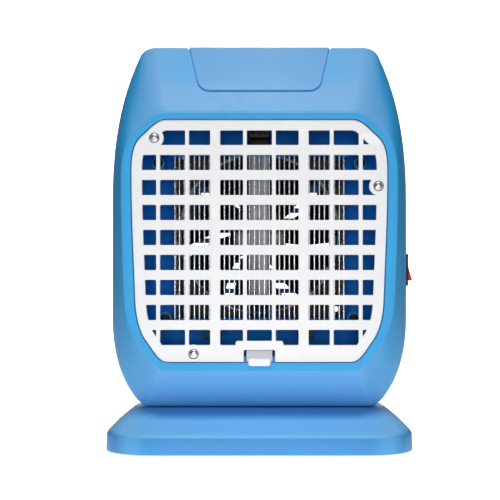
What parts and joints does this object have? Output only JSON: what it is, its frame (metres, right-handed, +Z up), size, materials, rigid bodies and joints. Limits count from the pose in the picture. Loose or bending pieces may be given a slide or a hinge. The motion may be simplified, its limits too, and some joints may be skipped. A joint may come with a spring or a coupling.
{
  "type": "desktop electric insect killer",
  "caption": "Free-standing insect killer: lamp in a wire cage behind a slotted front grille, suction fan, rear catch tray, side rocker switch and a wide foot.",
  "frame": {"origin": "middle of the foot's footprint, on the ground under the rubber feet", "axes": "+Z up, the front grille faces -Y, the rocker switch is on the +X flank"},
  "size_m": [0.1959, 0.12, 0.2579],
  "materials": {
    "housing_blue": "satin moulded ABS, sky blue",
    "chamber_blue": "satin moulded ABS, deep blue",
    "grille_white": "satin moulded ABS, white",
    "black_plastic": "moulded black plastic",
    "fan_gloss_black": "glossy black blades",
    "switch_red": "glossy red rocker",
    "rubber_black": "soft rubber",
    "screw_steel": "zinc-plated screws",
    "wire_steel": "bright steel wire",
    "lamp_glass": "phosphor-coated glass tube, opaque white",
    "brass": "plated contacts",
    "copper_winding": "enamelled copper winding",
    "board_green": "solder resist",
    "transformer_yellow": "tape-wrapped transformer",
    "capacitor_sleeve": "shrink sleeve",
    "film_red": "dipped film capacitor"
  },
  "bodies": {
    "housing": {"base_cover": "housing_blue", "front_shell": "housing_blue", "rear_shell": "housing_blue", "top_cover": "housing_blue", "chamber_wall": "chamber_blue", "grid_holder_top": "chamber_blue", "grid_holder_bottom": "chamber_blue", "front_grille": "grille_white", "base_plate": "black_plastic", "fan_frame": "black_plastic", "grid_terminal_left": "black_plastic", "grid_terminal_right": "black_plastic", "lamp_cap": "black_plastic", "lamp_socket": "black_plastic", "switch_body": "black_plastic", "power_inlet": "black_plastic", "rubber_foot_front_left": "rubber_black", "rubber_foot_front_right": "rubber_black", "rubber_foot_rear_left": "rubber_black", "rubber_foot_rear_right": "rubber_black", "stand_screw_front_left": "screw_steel", "stand_screw_front_right": "screw_steel", "stand_screw_rear_left": "screw_steel", "stand_screw_rear_right": "screw_steel", "housing_screw_upper_left": "screw_steel", "housing_screw_upper_right": "screw_steel", "housing_screw_lower_left": "screw_steel", "housing_screw_lower_right": "screw_steel", "chamber_screw_upper_left": "screw_steel", "chamber_screw_upper_right": "screw_steel", "chamber_screw_lower_left": "screw_steel", "chamber_screw_lower_right": "screw_steel", "grille_screw_upper_left": "screw_steel", "grille_screw_right": "screw_steel", "grille_screw_lower_left": "screw_steel", "fan_screw_upper_left": "screw_steel", "fan_screw_lower_right": "screw_steel", "board_screw_left": "screw_steel", "board_screw_right": "screw_steel", "grid_wires_live": "wire_steel", "grid_wires_return": "wire_steel", "lamp_bracket": "wire_steel", "lamp_tube": "lamp_glass", "fan_bearing": "brass", "inlet_pin_left": "brass", "inlet_pin_right": "brass", "switch_terminal_lower": "brass", "switch_terminal_upper": "brass", "fan_motor": "copper_winding", "lamp_choke": "copper_winding", "circuit_board": "board_green", "transformer": "transformer_yellow", "storage_capacitor_1": "capacitor_sleeve", "storage_capacitor_2": "capacitor_sleeve", "film_capacitor": "film_red"},
    "rocker": {"switch_rocker": "switch_red"},
    "latch": {"grille_latch": "grille_white"},
    "impeller": {"fan_impeller": "fan_gloss_black", "fan_shaft": "wire_steel"},
    "tray": {"catch_tray": "housing_blue"}
  },
  "joints": [
    {"name": "rocker_tilt", "type": "hinge", "parent": "housing", "child": "rocker", "pos_m": [0.0931, -0.006, 0.1145], "axis": [0, 1, 0], "range_deg": [0, 24]},
    {"name": "latch_flex", "type": "hinge", "parent": "housing", "child": "latch", "pos_m": [0, -0.0485, 0.0647], "axis": [1, 0, 0], "range_deg": [-6, 0], "stiffness_Nm_per_rad": 0.02},
    {"name": "fan_spin", "type": "hinge", "parent": "housing", "child": "impeller", "pos_m": [0, 0, 0.13855], "axis": [0, 1, 0], "continuous": true},
    {"name": "tray_slide", "type": "slide", "parent": "housing", "child": "tray", "axis": [0, 1, 0], "range_m": [0, 0.075]}
  ]
}
